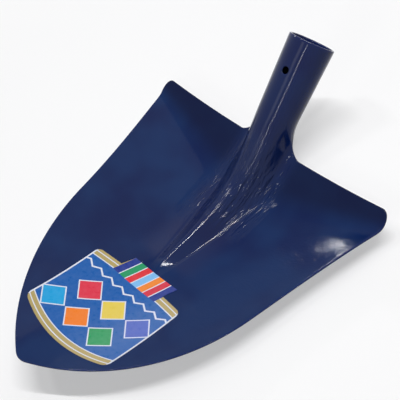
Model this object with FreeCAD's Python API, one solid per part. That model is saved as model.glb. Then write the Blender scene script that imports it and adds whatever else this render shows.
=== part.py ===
"""Head of a round point shovel: a dished blade with a pressed rib, a tapered handle socket and a label.

Lengths are millimetres and angles are degrees. The head is drawn in its blade frame: x to the right,
y from the point back to the shoulders, z up out of the dish, with zero at the point. Then it is tipped
back onto its belly, as it lies by itself on a floor, and centred over the origin.
"""
import FreeCAD, Part
import os
from math import atan2, cos, hypot, radians, sin, sqrt, tan

from FreeCAD import Placement, Rotation, Vector

# Blade outline, seen from above
blade_length = 291.0
blade_width = 279.0
cheek_width = 219.5
cheek_from_point = 153.0
side_hollow = 1.8
point_radius = 12.0
corner_radius = 8.0
neck_web_width = 67.0
neck_web_run = 13.5
neck_web_radius = 10.0
neck_web_end_share = 0.5

# Blade steel and dish
blade_gauge = 2.0
dish_long_radius = 420.0
dish_cross_radius = 268.0
dish_lowest_from_point = 111.0
flatten_start_share = 0.5
flatten_share = 0.65

# Shoulders, which turn up behind a bend that runs from each corner to the neck
shoulder_lift_centre = 18.5
shoulder_lift_corner = 13.0
bend_from_shoulder_centre = 50.0
bend_from_shoulder_corner = 13.0
bend_softness_share = 0.5

# Rib pressed up out of the dish, from the end of the label's tab back to the neck
rib_nose_slope = 0.2
rib_nose_half_width = 8.0
rib_nose_crest_radius = 4.0
rib_nose_foot_radius = 5.0
neck_bend_from_shoulder = 26.0
neck_foot_radius = 10.0

# Handle socket, a tapered tube
socket_length = 79.0
socket_angle = 53.5
socket_mouth_radius = 21.5
socket_neck_radius = 19.0
socket_bore_radius = 19.0
socket_bore_straight = 24.0
socket_neck_wall = 1.7
socket_axis_rise = 14.0
socket_neck_rise = 9.0
socket_lip_chamfer = 0.6

# Nail hole in the front of the socket
nail_hole_radius = 3.0
nail_hole_from_mouth = 30.5

# Closed throat under the socket, which tapers into the hollow back of the rib
throat_length = 64.0

# Label
label_width = 107.0
label_length = 79.0
label_front_from_point = 47.0
label_front_bow = 11.5
label_back_bow = 5.0
label_corner_radius = 5.0
label_tab_width = 54.0
label_tab_from_point = 143.0
label_tab_lean = 4.5
label_film = 0.3
label_clearance = 0.3

# Pose on the floor
rest_tilt = 13.0

# Drawing aids
overrun = 12.0
slope_step = 0.05
row_spacing = 10.0
rear_row_spacing = 5.0
rear_rows_share = 0.75
RIB_STEPS = 14
WING_STEPS = 9
wing_even_share = 0.35
DEGREE = 3
PATCH_POINTS = 5

# Places that follow from the sizes
half_width = blade_width / 2
rib_start = label_tab_from_point
rib_length = blade_length - rib_start
neck_half_width = socket_neck_radius + neck_foot_radius
socket_along = Vector(0, cos(radians(socket_angle)), sin(radians(socket_angle)))
socket_front = Vector(0, -socket_along.z, socket_along.y)


def soft_ramp(share):
    """Zero up to the bend, one at the shoulder line, and nearly straight beyond it."""
    if share <= 0:
        return 0.0
    return share * share * (1 + bend_softness_share) / (share + bend_softness_share)


def shoulder_lift(x, y):
    """Height that the turned-up shoulders add at a place."""
    out = hypot(x, neck_half_width) - neck_half_width
    share = out / (hypot(half_width, neck_half_width) - neck_half_width)
    run = bend_from_shoulder_centre + (bend_from_shoulder_corner - bend_from_shoulder_centre) * share
    lift = shoulder_lift_centre + (shoulder_lift_corner - shoulder_lift_centre) * share
    return lift * soft_ramp((y - blade_length + run) / run)


def dish_height(x, y):
    """Height of the upper face of the dish and shoulders, without the rib."""
    rear_share = (y / blade_length - flatten_start_share) / (1 - flatten_start_share)
    curve = (1 - flatten_share * max(rear_share, 0) ** 2) / (2 * dish_cross_radius)
    along = y - dish_lowest_from_point
    belly = (along ** 2 - dish_lowest_from_point ** 2) / (2 * dish_long_radius)
    return belly + curve * x ** 2 + shoulder_lift(x, y)


axis_at_shoulder = Vector(0, blade_length, dish_height(0, blade_length) + socket_axis_rise)
neck_centre = axis_at_shoulder + socket_along * socket_neck_rise
mouth_centre = neck_centre + socket_along * socket_length
neck_front = neck_centre + socket_front * socket_neck_radius
mouth_front = mouth_centre + socket_front * socket_mouth_radius
front_slope = (mouth_front.z - neck_front.z) / (mouth_front.y - neck_front.y)
neck_bend_end = blade_length - neck_bend_from_shoulder


def front_line(y):
    """Height of the front line of the socket, run on down past the neck."""
    return neck_front.z + front_slope * (y - neck_front.y)


def rib_height(y):
    """Height of the crest over the dish: a smooth rise to the front line of the socket."""
    if y <= rib_start:
        return 0.0
    if y >= neck_bend_end:
        return front_line(y) - dish_height(0, y)
    run = rib_length - neck_bend_from_shoulder
    end_height = front_line(neck_bend_end) - dish_height(0, neck_bend_end)
    dish_slope = (dish_height(0, neck_bend_end + slope_step) - dish_height(0, neck_bend_end)) / slope_step
    share = (y - rib_start) / run
    start_part = (share ** 3 - 2 * share ** 2 + share) * run * rib_nose_slope
    end_part = (3 * share ** 2 - 2 * share ** 3) * end_height
    end_slope_part = (share ** 3 - share ** 2) * run * (front_slope - dish_slope)
    return start_part + end_part + end_slope_part


def rib_share(y):
    """How far the rib has grown from its nose to the bend at the neck."""
    return min(max((y - rib_start) / (rib_length - neck_bend_from_shoulder), 0.0), 1.0)


def rib_section(y):
    """Half width, crest radius, foot radius and upright stretch of the rib."""
    share = rib_share(y)
    along_axis = (y - neck_centre.y) / socket_along.y
    taper = (socket_mouth_radius - socket_neck_radius) / socket_length
    full_crest = socket_neck_radius + taper * max(along_axis, neck_bend_end - neck_centre.y)
    crest = rib_nose_crest_radius + (full_crest - rib_nose_crest_radius) * share ** 2
    foot = rib_nose_foot_radius + (neck_foot_radius - rib_nose_foot_radius) * share
    half = rib_nose_half_width + (neck_half_width - rib_nose_half_width) * share
    crest_slope = (rib_height(y + slope_step) + dish_height(0, y + slope_step)
                   - rib_height(y - slope_step) - dish_height(0, y - slope_step)) / (2 * slope_step)
    return max(half, crest + foot), crest, foot, hypot(1, crest_slope)


def rib_place(y, share):
    """Place on half of the rib, from its crest at share 0 to its foot at share 1."""
    half, crest, foot, stretch = rib_section(y)
    height = rib_height(y) / stretch
    radii = crest + foot
    drop = height - radii
    flank = sqrt(max(half ** 2 + drop ** 2 - radii ** 2, 0))
    lean = atan2(drop, half) + atan2(radii, flank)
    way = share * (radii * lean + flank)
    if way <= crest * lean:
        turn = way / crest
        x, z = crest * sin(turn), height - crest * (1 - cos(turn))
    elif way <= crest * lean + flank:
        run = way - crest * lean
        x = crest * sin(lean) + run * cos(lean)
        z = height - crest * (1 - cos(lean)) - run * sin(lean)
    else:
        turn = (radii * lean + flank - way) / foot
        x, z = half - foot * sin(turn), foot * (1 - cos(turn))
    level = rib_share(y) * (1 - share ** 2 * (3 - 2 * share))
    floor = dish_height(0, y) * level + dish_height(x, y) * (1 - level)
    return x, floor + z * stretch


def wing_place(y, share, reach):
    """Place on the dish beside the rib, from the foot of the rib at share 0 out to its reach at share 1."""
    foot_x = rib_section(y)[0]
    out = wing_even_share * share + (1 - wing_even_share) * share ** 2
    x = foot_x + (reach - foot_x) * out
    return x, dish_height(x, y)


def top_place(y, share):
    """Place on the upper face, for shares from -1 at the left to 1 at the right."""
    across = abs(share) * (RIB_STEPS + WING_STEPS)
    if across <= RIB_STEPS:
        x, z = rib_place(y, across / RIB_STEPS)
    else:
        x, z = wing_place(y, (across - RIB_STEPS) / WING_STEPS, half_width + overrun)
    return Vector(x if share > 0 else -x, y, z)


def under_place(y, share):
    """Place on the under face, one gauge below the upper face and in the same cross-section."""
    share_step = slope_step / half_width
    place = top_place(y, share)
    along = (top_place(y + slope_step, share) - top_place(y - slope_step, share)) / (2 * slope_step)
    inner, outer = max(share - share_step, -1), min(share + share_step, 1)
    across = top_place(y, outer) - top_place(y, inner)
    normal = across.cross(along).normalize()
    return place - normal * blade_gauge + along * (blade_gauge * normal.y)


def rows():
    """Distances behind the point of the cross-sections, closer together near the neck."""
    places, y = [], -overrun
    while y < blade_length + neck_web_run + overrun:
        places.append(y)
        y += rear_row_spacing if y >= rear_rows_share * blade_length else row_spacing
    return places


def even_knots(count):
    """Knots and their multiplicities for a cubic that ends on its first and last control point."""
    knots = [float(step) for step in range(count - DEGREE + 1)]
    return knots, [DEGREE + 1] + [1] * (len(knots) - 2) + [DEGREE + 1]


def skin(place):
    """One smooth face whose control points are the cross-sections that a place function gives."""
    columns = RIB_STEPS + WING_STEPS
    grid = [[place(y, step / columns) for step in range(-columns, columns + 1)] for y in rows()]
    row_knots, row_counts = even_knots(len(grid))
    column_knots, column_counts = even_knots(len(grid[0]))
    surface = Part.BSplineSurface()
    surface.buildFromPolesMultsKnots(grid, row_counts, column_counts, row_knots, column_knots,
                                     False, False, DEGREE, DEGREE)
    return surface.toShape()


def sheet(upper, under):
    """Steel between the upper and the under face, still with straight sides."""
    def corners(edge):
        return sum((vertex.Point for vertex in edge.Vertexes), Vector()) / 2
    sides = []
    for edge in upper.Edges:
        partner = min(under.Edges, key=lambda other: (corners(other) - corners(edge)).Length)
        sides.append(Part.makeRuledSurface(edge, partner))
    shell = Part.makeShell([upper, under] + sides)
    shell.sewShape()
    solid = Part.Solid(Part.Shell(shell.Faces))
    if solid.Volume < 0:
        solid.reverse()
    return solid


def mirrored(place):
    """The same place on the left side."""
    return Vector(-place.x, place.y, place.z)


def both_sides(edges):
    """Edges of the right side, then their mirror images, in order round the outline."""
    left = [edge.mirror(Vector(), Vector(1, 0, 0)) for edge in edges]
    return edges + left


def bowed(start, end, bow):
    """Arc from start to end, whose middle stands out by the bow on the right of the way."""
    way = end - start
    out = Vector(way.y, -way.x, 0).normalize()
    return Part.Arc(start, (start + end) / 2 + out * bow, end).toShape()


def upright_block(edges):
    """Upright block round a closed outline, tall enough for the whole blade."""
    face = Part.Face(Part.Wire(Part.__sortEdges__(edges)))
    face.translate(Vector(0, 0, -blade_width))
    return face.extrude(Vector(0, 0, 2 * blade_width))


def upright_edges(block, place):
    """Upright edges of a block at a place or at its mirror image."""
    return [edge for edge in block.Edges
            if all(hypot(abs(v.X) - place.x, v.Y - place.y) < slope_step for v in edge.Vertexes)]


def outline_prism():
    """Upright block with the outline of the blade."""
    cheek = Vector(cheek_width / 2, cheek_from_point, 0)
    corner = Vector(half_width, blade_length, 0)
    side = corner - cheek
    side_start = atan2(side.x, side.y) - 4 * side_hollow / side.Length
    half_turn = atan2(cheek.x, cheek.y) - side_start
    point_bow = cheek.Length / 2 * tan(half_turn / 2)
    web_start = Vector(neck_web_width / 2, blade_length, 0)
    web_end = Vector(socket_neck_radius * neck_web_end_share, blade_length + neck_web_run, 0)
    edges = both_sides([
        bowed(Vector(), cheek, point_bow),
        bowed(cheek, corner, -side_hollow),
        Part.LineSegment(corner, web_start).toShape(),
        Part.LineSegment(web_start, web_end).toShape(),
    ])
    edges.append(Part.LineSegment(web_end, mirrored(web_end)).toShape())
    prism = upright_block(edges)
    prism = prism.makeFillet(corner_radius, upright_edges(prism, corner))
    prism = prism.makeFillet(neck_web_radius, upright_edges(prism, web_start))
    return prism.makeFillet(point_radius, upright_edges(prism, Vector()))


def cone_between(start, start_radius, end, end_radius):
    """Tapered round bar, or a straight one, from one centre to another."""
    way = end - start
    if start_radius == end_radius:
        return Part.makeCylinder(start_radius, way.Length, start, way)
    return Part.makeCone(start_radius, end_radius, way.Length, start, way)


def throat_bar(radius):
    """Round bar that starts square to the socket at the neck and rises into the crest of the rib."""
    def circle(centre):
        return Part.Wire([Part.Circle(centre, socket_along, radius).toShape()])
    y = neck_centre.y - throat_length
    roof = dish_height(0, y) + rib_height(y) - blade_gauge * rib_section(y)[3]
    end = Vector(0, y, roof) + socket_front * socket_neck_radius
    return Part.makeLoft([circle(neck_centre), circle(end)], True, True)


def make_blade(upper, prism):
    """Dished blade with its rib, and the closed throat at its neck."""
    under = skin(under_place)
    plate = sheet(upper, under).common(prism)
    down = Vector(0, 0, -blade_width)
    throat = throat_bar(socket_neck_radius).common(upper.extrude(down))
    hollow = throat_bar(socket_neck_radius - socket_neck_wall).common(under.extrude(down))
    head = plate.fuse(throat).cut(hollow)
    above = Part.makeBox(2 * neck_half_width, mouth_centre.y, mouth_centre.y)
    above.translate(Vector(-neck_half_width, -mouth_centre.y / 2, 0))
    above.Placement = Placement(neck_centre, Rotation(Vector(0, 0, 1), socket_along)).multiply(above.Placement)
    head = head.cut(above)
    return max(head.Solids, key=lambda solid: solid.Volume)


def make_socket():
    """Tapered tube with a true bore at its mouth and a nail hole in front."""
    tube = cone_between(neck_centre, socket_neck_radius, mouth_centre, socket_mouth_radius)
    lip = [edge for edge in tube.Edges
           if edge.Closed and abs((edge.CenterOfMass - mouth_centre).Length) < slope_step]
    tube = tube.makeChamfer(socket_lip_chamfer, lip)
    straight_end = mouth_centre - socket_along * socket_bore_straight
    bore = cone_between(straight_end, socket_bore_radius, mouth_centre + socket_along * overrun,
                        socket_bore_radius)
    deep_bore = cone_between(neck_centre, socket_neck_radius - socket_neck_wall, straight_end,
                             socket_bore_radius)
    hole_centre = mouth_centre - socket_along * nail_hole_from_mouth
    hole = Part.makeCylinder(nail_hole_radius, socket_mouth_radius + overrun, hole_centre, socket_front)
    return tube.cut(bore).cut(deep_bore).cut(hole).Solids[0]


def dish_patch(reach, start, end):
    """Plain patch of the dish between two distances behind the point, out to its reach on both sides."""
    steps = [step / (PATCH_POINTS - 1) for step in range(PATCH_POINTS)]
    ways = [start + (end - start) * step for step in steps]
    outs = [reach * (2 * step - 1) for step in steps]
    surface = Part.BSplineSurface()
    surface.interpolate([[Vector(x, y, dish_height(x, y)) for x in outs] for y in ways])
    return surface.toShape()


def make_label():
    """Thin film that follows the dish, bowed at both ends, with a leaning tab towards the socket."""
    front = Vector(label_width / 2, label_front_from_point, 0)
    back = Vector(label_width / 2, label_front_from_point + label_length, 0)
    tab_share = label_tab_width / label_width
    root = Vector(label_tab_width / 2, back.y + label_back_bow * (1 - tab_share ** 2), 0)
    lean = Vector(label_tab_lean, label_tab_from_point - root.y, 0)
    edges = both_sides([
        Part.LineSegment(front, back).toShape(),
        bowed(back, root, label_back_bow * ((1 - tab_share) / 2) ** 2),
    ])
    edges.append(bowed(mirrored(front), front, label_front_bow))
    edges.append(Part.LineSegment(root, root + lean).toShape())
    edges.append(Part.LineSegment(root + lean, mirrored(root) + lean).toShape())
    edges.append(Part.LineSegment(mirrored(root) + lean, mirrored(root)).toShape())
    block = upright_block(edges)
    rounded = upright_edges(block, front) + upright_edges(block, back)
    block = block.makeFillet(label_corner_radius, rounded)
    patch = dish_patch(label_width / 2 + overrun, label_front_from_point - label_front_bow - overrun,
                       label_tab_from_point + overrun)
    face = patch.common(block).Faces[0]
    face.translate(Vector(0, 0, label_clearance))
    return face.extrude(Vector(0, 0, label_film))


def main():
    upper = skin(top_place)
    prism = outline_prism()
    parts = {"blade": make_blade(upper, prism), "socket": make_socket(), "label": make_label()}
    tipped = Rotation(Vector(1, 0, 0), -rest_tilt)
    for shape in parts.values():
        shape.Placement = Placement(Vector(), tipped).multiply(shape.Placement)
    box = Part.makeCompound(list(parts.values())).optimalBoundingBox(False)
    home = Vector(-box.Center.x, -box.Center.y, -box.ZMin)
    os.makedirs("parts", exist_ok=True)
    for name, shape in parts.items():
        shape.translate(home)
        shape.exportStep("parts/" + name + ".step")
        print(name, shape.ShapeType, shape.isValid(), len(shape.Faces), "faces",
              round(shape.Volume / 1000, 2), "cm3")
    print("box", round(box.XLength, 1), round(box.YLength, 1), round(box.ZLength, 1), "home", home)


main()
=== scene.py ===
"""Looks of the head of a round point shovel: a seamless skin of painted steel, and a printed label.

The steel is pressed, so its dish, rib and neck curve in two directions at once, which extruding and
bevelling flat faces can't give.  The skin is therefore laid on the form of the construction model:
two grids are set on the upper and the under face, bridged along the rim, and the opening that they
leave at the neck is extruded ring by ring into the socket, over its lip and down its bore.

Lengths are millimetres in the blade frame of the head (x right, y from the point back to the
shoulders, z up out of the dish) until a point is handed to a mesh, where they become metres.
"""

import logging
from dataclasses import dataclass, field
from enum import Enum
from math import asin, atan2, cos, hypot, pi, radians, sin, sqrt, tan
from typing import Callable, Sequence

import bpy
from mathutils import Matrix, Vector

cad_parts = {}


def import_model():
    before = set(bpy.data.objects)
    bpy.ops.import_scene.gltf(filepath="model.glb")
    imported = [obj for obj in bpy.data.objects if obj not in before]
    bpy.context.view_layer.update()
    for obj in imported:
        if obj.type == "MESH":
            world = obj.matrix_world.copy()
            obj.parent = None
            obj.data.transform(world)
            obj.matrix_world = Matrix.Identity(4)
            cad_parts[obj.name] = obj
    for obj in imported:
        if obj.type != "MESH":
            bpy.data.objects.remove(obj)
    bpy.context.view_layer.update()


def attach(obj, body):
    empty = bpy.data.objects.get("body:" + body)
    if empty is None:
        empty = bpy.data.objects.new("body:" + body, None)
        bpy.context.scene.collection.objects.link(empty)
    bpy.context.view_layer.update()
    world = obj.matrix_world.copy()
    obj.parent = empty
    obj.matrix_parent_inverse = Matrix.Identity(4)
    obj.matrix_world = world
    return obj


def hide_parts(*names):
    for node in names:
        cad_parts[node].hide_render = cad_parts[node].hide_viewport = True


LOG = logging.getLogger("shovel")
MM = 0.001
ON_SPOT = 1e-7
Piece = bpy.types.Object


def smooth_step(share: float) -> float:
    """Share from 0 to 1 that starts and ends level."""
    share = min(max(share, 0.0), 1.0)
    return share * share * (3 - 2 * share)


def soft_min(a: float, b: float, width: float) -> float:
    """Smaller of two heights, with the crease between them rounded over a width."""
    mix = min(max(0.5 + (b - a) / (2 * width), 0.0), 1.0)
    return b + (a - b) * mix - width * mix * (1 - mix)


def hermite(start: float, end: float, start_slope: float, end_slope: float, share: float) -> float:
    """Value at a share of the way on a cubic with given ends and end slopes."""
    s2, s3 = share ** 2, share ** 3
    return ((2 * s3 - 3 * s2 + 1) * start + (s3 - 2 * s2 + share) * start_slope
            + (3 * s2 - 2 * s3) * end + (s3 - s2) * end_slope)


def sided(place: Vector, column: int) -> Vector:
    """The place itself, or its mirror image for a column on the left."""
    return Vector((-place.x if column < 0 else place.x, place.y, place.z))


def spread(points: Sequence[Vector], count: int) -> list[Vector]:
    """Points at even distances along a line.

    Args:
        points: Closely set points of the line.
        count: How many even steps the line is cut into.

    Returns:
        The count + 1 points, both ends among them.
    """
    ways = [0.0]
    for before, after in zip(points, points[1:]):
        ways.append(ways[-1] + (after - before).length)
    found, place = [], 0
    for step in range(count + 1):
        goal = ways[-1] * step / count
        while place < len(points) - 2 and ways[place + 1] < goal:
            place += 1
        gap = ways[place + 1] - ways[place]
        share = (goal - ways[place]) / gap if gap else 0.0
        found.append(points[place].lerp(points[place + 1], share))
    return found


@dataclass(frozen=True)
class HeadForm:
    """Form of the steel in the blade frame, with the sizes of the construction model."""

    blade_length: float = 291.0
    blade_width: float = 279.0
    cheek_width: float = 219.5
    cheek_from_point: float = 153.0
    side_hollow: float = 1.8
    point_radius: float = 12.0
    corner_radius: float = 8.0
    gauge: float = 2.0
    under_gauge: float = 1.92
    dish_long_radius: float = 420.0
    dish_cross_radius: float = 268.0
    dish_lowest: float = 111.0
    flatten_start: float = 0.5
    flatten: float = 0.65
    lift_centre: float = 18.5
    lift_corner: float = 13.0
    bend_centre: float = 50.0
    bend_corner: float = 13.0
    bend_softness: float = 0.5
    rib_length: float = 148.0
    nose_slope: float = 0.36
    nose_half_width: float = 8.0
    nose_crest_radius: float = 2.8
    nose_foot_radius: float = 3.8
    neck_bend: float = 26.0
    neck_foot_radius: float = 10.0
    socket_length: float = 79.0
    socket_angle: float = 53.5
    mouth_radius: float = 21.5
    neck_radius: float = 19.0
    bore_radius: float = 19.0
    bore_straight: float = 24.0
    neck_wall: float = 1.7
    axis_rise: float = 14.0
    neck_rise: float = 9.0
    throat_length: float = 64.0
    rest_tilt: float = 13.0
    home: tuple[float, float, float] = (0.0, -188.9107, 51.4967)
    step: float = 0.05

    def model(self, place: Vector) -> Vector:
        """Place in the model's frame, in metres, of a place in the blade frame."""
        turned = Matrix.Rotation(radians(-self.rest_tilt), 3, "X") @ place
        return (turned + Vector(self.home)) * MM

    def from_model(self, place: Vector) -> Vector:
        """Place in the blade frame, in millimetres, of a place in the model's frame."""
        return Matrix.Rotation(radians(self.rest_tilt), 3, "X") @ (place / MM - Vector(self.home))

    @property
    def half_width(self) -> float:
        """Half the width of the blade."""
        return self.blade_width / 2

    @property
    def neck_half_width(self) -> float:
        """Half the width of the rib where it meets the socket."""
        return self.neck_radius + self.neck_foot_radius

    @property
    def rib_start(self) -> float:
        """Distance from the point to the nose of the rib."""
        return self.blade_length - self.rib_length

    @property
    def neck_bend_end(self) -> float:
        """Distance from the point to where the crest runs straight into the socket."""
        return self.blade_length - self.neck_bend

    @property
    def along(self) -> Vector:
        """Direction of the socket."""
        return Vector((0, cos(radians(self.socket_angle)), sin(radians(self.socket_angle))))

    @property
    def front(self) -> Vector:
        """Direction out of the front of the socket, square to it."""
        return Vector((0, -self.along.z, self.along.y))

    @property
    def neck_centre(self) -> Vector:
        """Centre of the socket where it leaves the rib."""
        shoulder = Vector((0, self.blade_length, self.dish(0, self.blade_length) + self.axis_rise))
        return shoulder + self.along * self.neck_rise

    @property
    def taper(self) -> float:
        """How much the socket's radius grows for each length along it."""
        return (self.mouth_radius - self.neck_radius) / self.socket_length

    def lift(self, x: float, y: float) -> float:
        """Height that the turned-up shoulders add.

        Args:
            x: Place across the blade.
            y: Place behind the point.

        Returns:
            The added height.
        """
        out = hypot(x, self.neck_half_width) - self.neck_half_width
        share = out / (hypot(self.half_width, self.neck_half_width) - self.neck_half_width)
        run = self.bend_centre + (self.bend_corner - self.bend_centre) * share
        lift = self.lift_centre + (self.lift_corner - self.lift_centre) * share
        ramp = max((y - self.blade_length + run) / run, 0.0)
        return lift * ramp * ramp * (1 + self.bend_softness) / (ramp + self.bend_softness)

    def dish(self, x: float, y: float) -> float:
        """Height of the upper face without the rib.

        Args:
            x: Place across the blade.
            y: Place behind the point.

        Returns:
            The height.
        """
        rear = max((y / self.blade_length - self.flatten_start) / (1 - self.flatten_start), 0.0)
        curve = (1 - self.flatten * rear ** 2) / (2 * self.dish_cross_radius)
        belly = ((y - self.dish_lowest) ** 2 - self.dish_lowest ** 2) / (2 * self.dish_long_radius)
        return belly + curve * x * x + self.lift(x, y)

    def front_line(self, y: float) -> float:
        """Height of the front line of the socket, run on down past the neck."""
        neck = self.neck_centre + self.front * self.neck_radius
        mouth = self.neck_centre + self.along * self.socket_length + self.front * self.mouth_radius
        return neck.z + (mouth.z - neck.z) / (mouth.y - neck.y) * (y - neck.y)

    def rib_height(self, y: float) -> float:
        """Height of the crest of the rib over the dish."""
        if y <= self.rib_start:
            return 0.0
        if y >= self.neck_bend_end:
            return self.front_line(y) - self.dish(0, y)
        end, run = self.neck_bend_end, self.neck_bend_end - self.rib_start
        slope = self.front_line(1) - self.front_line(0)
        slope -= (self.dish(0, end + self.step) - self.dish(0, end)) / self.step
        height = self.front_line(end) - self.dish(0, end)
        return hermite(0, height, run * self.nose_slope, run * slope, (y - self.rib_start) / run)

    def crest_line(self, y: float) -> float:
        """Height of the crest of the rib."""
        return self.dish(0, y) + self.rib_height(y)

    def rib_share(self, y: float) -> float:
        """How far the rib has grown from its nose to the bend at the neck."""
        share = (y - self.rib_start) / (self.neck_bend_end - self.rib_start)
        return min(max(share, 0.0), 1.0)

    def rib_section(self, y: float) -> tuple[float, float, float, float]:
        """Half width, crest radius, foot radius and upright stretch of the rib at a distance."""
        share = self.rib_share(y)
        along_axis = (y - self.neck_centre.y) / self.along.y
        full = self.wall_at(max(along_axis, self.neck_bend_end - self.neck_centre.y))
        crest = self.nose_crest_radius + (full - self.nose_crest_radius) * share ** 2
        foot = self.nose_foot_radius + (self.neck_foot_radius - self.nose_foot_radius) * share
        half = self.nose_half_width + (self.neck_half_width - self.nose_half_width) * share
        slope = (self.crest_line(y + self.step) - self.crest_line(y - self.step)) / (2 * self.step)
        return max(half, crest + foot), crest, foot, hypot(1, slope)

    def rib(self, y: float, share: float) -> Vector:
        """Place on the right half of the rib, upper face.

        Args:
            y: Place behind the point.
            share: 0 on the crest, 1 at the foot.

        Returns:
            The place.
        """
        half, crest, foot, stretch = self.rib_section(y)
        height, radii = self.rib_height(y) / stretch, crest + foot
        drop = height - radii
        flank = sqrt(max(half ** 2 + drop ** 2 - radii ** 2, 0))
        lean = atan2(drop, half) + atan2(radii, flank)
        way = share * (radii * lean + flank)
        if way <= crest * lean:
            x, z = crest * sin(way / crest), height - crest * (1 - cos(way / crest))
        elif way <= crest * lean + flank:
            run = way - crest * lean
            x = crest * sin(lean) + run * cos(lean)
            z = height - crest * (1 - cos(lean)) - run * sin(lean)
        else:
            turn = (radii * lean + flank - way) / foot
            x, z = half - foot * sin(turn), foot * (1 - cos(turn))
        level = self.rib_share(y) * (1 - smooth_step(share))
        floor = self.dish(0, y) * level + self.dish(x, y) * (1 - level)
        return Vector((x, y, floor + z * stretch))

    def rib_under(self, y: float, share: float) -> Vector:
        """Place on the under face of the rib, in the same cross-section.

        Args:
            y: Place behind the point.
            share: 0 under the crest, 1 at the foot.

        Returns:
            The place.
        """
        ahead, behind = self.rib(y + self.step, share), self.rib(y - self.step, share)
        along = (ahead - behind) / (2 * self.step)
        inner, outer = max(share - self.step, 0.0), min(share + self.step, 1.0)
        across = self.rib(y, outer) - self.rib(y, inner)
        if share < self.step:
            across = Vector((1, 0, 0))
        normal = across.cross(along).normalized()
        back = along * (self.under_gauge * normal.y)
        return self.rib(y, share) - normal * self.under_gauge + back

    def dish_under(self, x: float, y: float) -> float:
        """Height of the under face of the dish.

        Args:
            x: Place across the blade.
            y: Place behind the point.

        Returns:
            The height.
        """
        here = self.dish(x, y)
        across = (self.dish(x + self.step, y) - here) / self.step
        back = (self.dish(x, y + self.step) - here) / self.step
        return here - self.under_gauge * sqrt(1 + across ** 2 + back ** 2)

    def throat_floor(self, x: float, y: float) -> float:
        """Height of the under face of the closed throat, far up where there is none.

        Args:
            x: Place across the blade.
            y: Place behind the point.

        Returns:
            The height.
        """
        start, end = self.neck_centre, self.throat_end + self.front * self.neck_radius
        reach = self.neck_radius ** 2 - x * x
        if reach <= 0 or y < end.y:
            return self.blade_width
        back = self.front * -sqrt(reach)
        share = (y - back.y - start.y) / (end.y - start.y)
        return start.z + (end.z - start.z) * share + back.z

    @property
    def throat_end(self) -> Vector:
        """Place where the closed throat meets the roof of the hollow rib."""
        y = self.neck_centre.y - self.throat_length
        return Vector((0, y, self.roof(y)))

    def roof(self, y: float) -> float:
        """Height of the roof of the hollow rib, in its middle."""
        return self.crest_line(y) - self.gauge * self.rib_section(y)[3]

    def headroom(self, floor: Vector) -> float:
        """How far the hollow reaches from a place in the middle to the roof under the crest."""
        low, high = 0.0, 2 * self.neck_radius
        while high - low > self.step:
            middle = (low + high) / 2
            place = floor + self.front * middle
            if place.z < self.roof(place.y):
                low = middle
            else:
                high = middle
        return low

    def on_socket(self, radius: float, angle: float, way: float) -> Vector:
        """Place at a radius, a turn from the front line to the right, and a way from the neck."""
        across = Vector((sin(angle), 0, 0)) + self.front * cos(angle)
        return self.neck_centre + self.along * way + across * radius

    def from_socket(self, place: Vector) -> tuple[float, float, float]:
        """Radius, angle and way round the axis of the socket of a place."""
        offset = place - self.neck_centre
        out = offset.dot(self.front)
        return hypot(offset.x, out), atan2(offset.x, out), offset.dot(self.along)

    def wall_at(self, way: float) -> float:
        """Radius of the outside of the socket at a way along its axis."""
        return self.neck_radius + self.taper * way

    def bore_at(self, way: float) -> float:
        """Radius of the bore at a way along its axis, tapered and then straight to the mouth."""
        deep, straight = self.neck_radius - self.neck_wall, self.socket_length - self.bore_straight
        return min(self.bore_radius, deep + (self.bore_radius - deep) / straight * way)


@dataclass(frozen=True)
class Outline:
    """Outline of the blade from above: bowed cheeks, hollow sides, rounded point and corners."""

    form: HeadForm

    @staticmethod
    def arc(start: Vector, end: Vector, bow: float) -> tuple[float, float, float]:
        """Centre and radius of an arc.

        Args:
            start: First end.
            end: Last end.
            bow: How far the middle stands out to the right of the way.

        Returns:
            The centre's x and y, and the radius.
        """
        way = end - start
        out = Vector((way.y, -way.x)).normalized()
        radius = (way.length ** 2 / 4 + bow ** 2) / (2 * abs(bow))
        centre = (start + end) / 2 + out * (bow - radius if bow > 0 else bow + radius)
        return centre.x, centre.y, radius

    def reach(self, y: float) -> float:
        """Half width of the blade at a distance behind the point."""
        form = self.form
        cheek = Vector((form.cheek_width / 2, form.cheek_from_point))
        corner = Vector((form.half_width, form.blade_length))
        side = corner - cheek
        half_turn = atan2(cheek.x, cheek.y) - atan2(side.x, side.y)
        half_turn += 4 * form.side_hollow / side.length
        cheek_bow = cheek.length / 2 * tan(half_turn / 2)
        cheek_x, cheek_y, cheek_r = self.arc(Vector((0, 0)), cheek, cheek_bow)
        side_x, side_y, side_r = self.arc(cheek, corner, -form.side_hollow)
        run = self.leg(cheek_r - form.point_radius, cheek_x)
        point_y = min(cheek_y - run, cheek_y + run, key=abs)
        touch = point_y + (point_y - cheek_y) * form.point_radius / (cheek_r - form.point_radius)
        if y < touch:
            return self.leg(form.point_radius, y - point_y)
        corner_y = form.blade_length - form.corner_radius
        corner_x = side_x - self.leg(side_r + form.corner_radius, corner_y - side_y)
        turn = corner_y + (side_y - corner_y) * form.corner_radius / (side_r + form.corner_radius)
        if y > turn:
            return corner_x + self.leg(form.corner_radius, y - corner_y)
        if y > cheek.y:
            return side_x - self.leg(side_r, y - side_y)
        return cheek_x + self.leg(cheek_r, y - cheek_y)

    def point(self) -> float:
        """Distance from the virtual point to the rounded one."""
        low, high = 0.0, self.form.point_radius * 2
        while high - low > ON_SPOT:
            middle = (low + high) / 2
            if self.reach(middle) > 0:
                high = middle
            else:
                low = middle
        return high

    @staticmethod
    def leg(radius: float, other: float) -> float:
        """Other leg of a right triangle, zero where there is none."""
        return sqrt(max(radius ** 2 - other ** 2, 0.0))


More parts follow.
